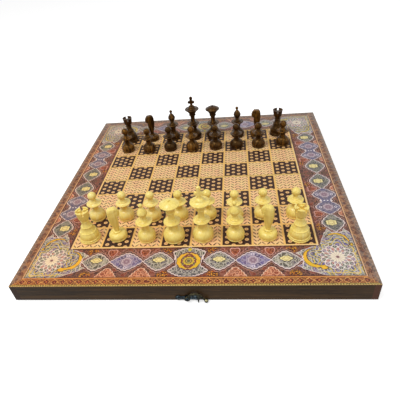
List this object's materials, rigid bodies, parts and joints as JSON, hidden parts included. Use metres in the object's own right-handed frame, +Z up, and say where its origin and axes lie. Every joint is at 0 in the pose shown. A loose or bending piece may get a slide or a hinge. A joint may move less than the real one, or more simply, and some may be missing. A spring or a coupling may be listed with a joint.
{
  "type": "chess set",
  "caption": "Folding wooden chess box opened flat with a patterned playing surface, a hook latch, hinges under the seam and turned chess pieces standing on it.",
  "frame": {"origin": "under the middle of the seam, on the surface that the open board stands on", "axes": "+Z up out of the playing surface, +Y from the light pieces' side to the dark pieces' side, +X along the seam to the right"},
  "size_m": [0.48, 0.5058, 0.1199],
  "materials": {
    "walnut": "satin, dark brown, grain along each rail",
    "side_walnut": "satin, reddish brown",
    "plywood": "bare plywood, edges hidden in the rails",
    "lining": "satin veneer with the triangular points of the second game",
    "front_print": "lacquered patterned veneer: chess field and ornamental border",
    "rear_print": "lacquered patterned veneer: chess field and ornamental border",
    "hinge_brass": "dull brass",
    "aged_brass": "dark aged brass, brighter where it is rubbed",
    "boxwood": "polished pale yellow wood",
    "dark_wood": "lacquered dark brown wood with warm grain"
  },
  "bodies": {
    "front_half": {"front_outer_rail": "walnut", "front_left_rail": "side_walnut", "front_right_rail": "side_walnut", "front_hinge_rail": "walnut", "front_panel": "plywood", "front_lining": "lining", "front_print": "front_print", "hinge_front_leaves": "hinge_brass", "hinge_pins": "hinge_brass", "hinge_front_screws": "hinge_brass", "hook_plate": "aged_brass", "hook_plate_screws": "aged_brass", "hook_rivet": "aged_brass"},
    "rear_half": {"rear_outer_rail": "walnut", "rear_left_rail": "side_walnut", "rear_right_rail": "side_walnut", "rear_hinge_rail": "walnut", "rear_panel": "plywood", "rear_lining": "lining", "rear_print": "rear_print", "hinge_rear_leaves": "hinge_brass", "hinge_rear_screws": "hinge_brass", "strike_plate": "aged_brass", "strike_plate_screws": "aged_brass", "strike_post": "aged_brass"},
    "hook": {"hook_arm": "aged_brass"},
    "light_left_rook_lift": {"light_left_rook": "boxwood"},
    "light_left_knight_lift": {"light_left_knight": "boxwood"},
    "light_left_bishop_lift": {"light_left_bishop": "boxwood"},
    "light_queen_lift": {"light_queen": "boxwood"},
    "light_king_lift": {"light_king": "boxwood"},
    "light_right_bishop_lift": {"light_right_bishop": "boxwood"},
    "light_right_knight_lift": {"light_right_knight": "boxwood"},
    "light_right_rook_lift": {"light_right_rook": "boxwood"},
    "light_pawn_1_lift": {"light_pawn_1": "boxwood"},
    "light_pawn_2_lift": {"light_pawn_2": "boxwood"},
    "light_pawn_3_lift": {"light_pawn_3": "boxwood"},
    "light_pawn_4_lift": {"light_pawn_4": "boxwood"},
    "light_pawn_5_lift": {"light_pawn_5": "boxwood"},
    "light_pawn_6_lift": {"light_pawn_6": "boxwood"},
    "light_pawn_7_lift": {"light_pawn_7": "boxwood"},
    "light_pawn_8_lift": {"light_pawn_8": "boxwood"},
    "dark_left_rook_lift": {"dark_left_rook": "dark_wood"},
    "dark_left_knight_lift": {"dark_left_knight": "dark_wood"},
    "dark_left_bishop_lift": {"dark_left_bishop": "dark_wood"},
    "dark_king_lift": {"dark_king": "dark_wood"},
    "dark_queen_lift": {"dark_queen": "dark_wood"},
    "dark_right_bishop_lift": {"dark_right_bishop": "dark_wood"},
    "dark_right_knight_lift": {"dark_right_knight": "dark_wood"},
    "dark_right_rook_lift": {"dark_right_rook": "dark_wood"},
    "dark_pawn_1_lift": {"dark_pawn_1": "dark_wood"},
    "dark_pawn_2_lift": {"dark_pawn_2": "dark_wood"},
    "dark_pawn_3_lift": {"dark_pawn_3": "dark_wood"},
    "dark_pawn_4_lift": {"dark_pawn_4": "dark_wood"},
    "dark_pawn_5_lift": {"dark_pawn_5": "dark_wood"},
    "dark_pawn_6_lift": {"dark_pawn_6": "dark_wood"},
    "dark_pawn_7_lift": {"dark_pawn_7": "dark_wood"},
    "dark_pawn_8_lift": {"dark_pawn_8": "dark_wood"}
  },
  "joints": [
    {"name": "board_fold", "type": "hinge", "parent": "front_half", "child": "rear_half", "pos_m": [0, 0, 0.0018], "axis": [1, 0, 0], "range_deg": [-180, 0]},
    {"name": "hook_swing", "type": "hinge", "parent": "front_half", "child": "hook", "pos_m": [0, -0.24985, 0.00695], "axis": [0, 1, 0], "range_deg": [-90, 90]},
    {"name": "light_left_rook_off", "type": "slide", "parent": "front_half", "child": "light_left_rook_lift", "axis": [0, 0, 1], "range_m": [0, 0.12]},
    {"name": "light_left_knight_off", "type": "slide", "parent": "front_half", "child": "light_left_knight_lift", "axis": [0, 0, 1], "range_m": [0, 0.12]},
    {"name": "light_left_bishop_off", "type": "slide", "parent": "front_half", "child": "light_left_bishop_lift", "axis": [0, 0, 1], "range_m": [0, 0.12]},
    {"name": "light_queen_off", "type": "slide", "parent": "front_half", "child": "light_queen_lift", "axis": [0, 0, 1], "range_m": [0, 0.12]},
    {"name": "light_king_off", "type": "slide", "parent": "front_half", "child": "light_king_lift", "axis": [0, 0, 1], "range_m": [0, 0.12]},
    {"name": "light_right_bishop_off", "type": "slide", "parent": "front_half", "child": "light_right_bishop_lift", "axis": [0, 0, 1], "range_m": [0, 0.12]},
    {"name": "light_right_knight_off", "type": "slide", "parent": "front_half", "child": "light_right_knight_lift", "axis": [0, 0, 1], "range_m": [0, 0.12]},
    {"name": "light_right_rook_off", "type": "slide", "parent": "front_half", "child": "light_right_rook_lift", "axis": [0, 0, 1], "range_m": [0, 0.12]},
    {"name": "light_pawn_1_off", "type": "slide", "parent": "front_half", "child": "light_pawn_1_lift", "axis": [0, 0, 1], "range_m": [0, 0.12]},
    {"name": "light_pawn_2_off", "type": "slide", "parent": "front_half", "child": "light_pawn_2_lift", "axis": [0, 0, 1], "range_m": [0, 0.12]},
    {"name": "light_pawn_3_off", "type": "slide", "parent": "front_half", "child": "light_pawn_3_lift", "axis": [0, 0, 1], "range_m": [0, 0.12]},
    {"name": "light_pawn_4_off", "type": "slide", "parent": "front_half", "child": "light_pawn_4_lift", "axis": [0, 0, 1], "range_m": [0, 0.12]},
    {"name": "light_pawn_5_off", "type": "slide", "parent": "front_half", "child": "light_pawn_5_lift", "axis": [0, 0, 1], "range_m": [0, 0.12]},
    {"name": "light_pawn_6_off", "type": "slide", "parent": "front_half", "child": "light_pawn_6_lift", "axis": [0, 0, 1], "range_m": [0, 0.12]},
    {"name": "light_pawn_7_off", "type": "slide", "parent": "front_half", "child": "light_pawn_7_lift", "axis": [0, 0, 1], "range_m": [0, 0.12]},
    {"name": "light_pawn_8_off", "type": "slide", "parent": "front_half", "child": "light_pawn_8_lift", "axis": [0, 0, 1], "range_m": [0, 0.12]},
    {"name": "dark_left_rook_off", "type": "slide", "parent": "rear_half", "child": "dark_left_rook_lift", "axis": [0, 0, 1], "range_m": [0, 0.12]},
    {"name": "dark_left_knight_off", "type": "slide", "parent": "rear_half", "child": "dark_left_knight_lift", "axis": [0, 0, 1], "range_m": [0, 0.12]},
    {"name": "dark_left_bishop_off", "type": "slide", "parent": "rear_half", "child": "dark_left_bishop_lift", "axis": [0, 0, 1], "range_m": [0, 0.12]},
    {"name": "dark_king_off", "type": "slide", "parent": "rear_half", "child": "dark_king_lift", "axis": [0, 0, 1], "range_m": [0, 0.12]},
    {"name": "dark_queen_off", "type": "slide", "parent": "rear_half", "child": "dark_queen_lift", "axis": [0, 0, 1], "range_m": [0, 0.12]},
    {"name": "dark_right_bishop_off", "type": "slide", "parent": "rear_half", "child": "dark_right_bishop_lift", "axis": [0, 0, 1], "range_m": [0, 0.12]},
    {"name": "dark_right_knight_off", "type": "slide", "parent": "rear_half", "child": "dark_right_knight_lift", "axis": [0, 0, 1], "range_m": [0, 0.12]},
    {"name": "dark_right_rook_off", "type": "slide", "parent": "rear_half", "child": "dark_right_rook_lift", "axis": [0, 0, 1], "range_m": [0, 0.12]},
    {"name": "dark_pawn_1_off", "type": "slide", "parent": "rear_half", "child": "dark_pawn_1_lift", "axis": [0, 0, 1], "range_m": [0, 0.12]},
    {"name": "dark_pawn_2_off", "type": "slide", "parent": "rear_half", "child": "dark_pawn_2_lift", "axis": [0, 0, 1], "range_m": [0, 0.12]},
    {"name": "dark_pawn_3_off", "type": "slide", "parent": "rear_half", "child": "dark_pawn_3_lift", "axis": [0, 0, 1], "range_m": [0, 0.12]},
    {"name": "dark_pawn_4_off", "type": "slide", "parent": "rear_half", "child": "dark_pawn_4_lift", "axis": [0, 0, 1], "range_m": [0, 0.12]},
    {"name": "dark_pawn_5_off", "type": "slide", "parent": "rear_half", "child": "dark_pawn_5_lift", "axis": [0, 0, 1], "range_m": [0, 0.12]},
    {"name": "dark_pawn_6_off", "type": "slide", "parent": "rear_half", "child": "dark_pawn_6_lift", "axis": [0, 0, 1], "range_m": [0, 0.12]},
    {"name": "dark_pawn_7_off", "type": "slide", "parent": "rear_half", "child": "dark_pawn_7_lift", "axis": [0, 0, 1], "range_m": [0, 0.12]},
    {"name": "dark_pawn_8_off", "type": "slide", "parent": "rear_half", "child": "dark_pawn_8_lift", "axis": [0, 0, 1], "range_m": [0, 0.12]}
  ]
}
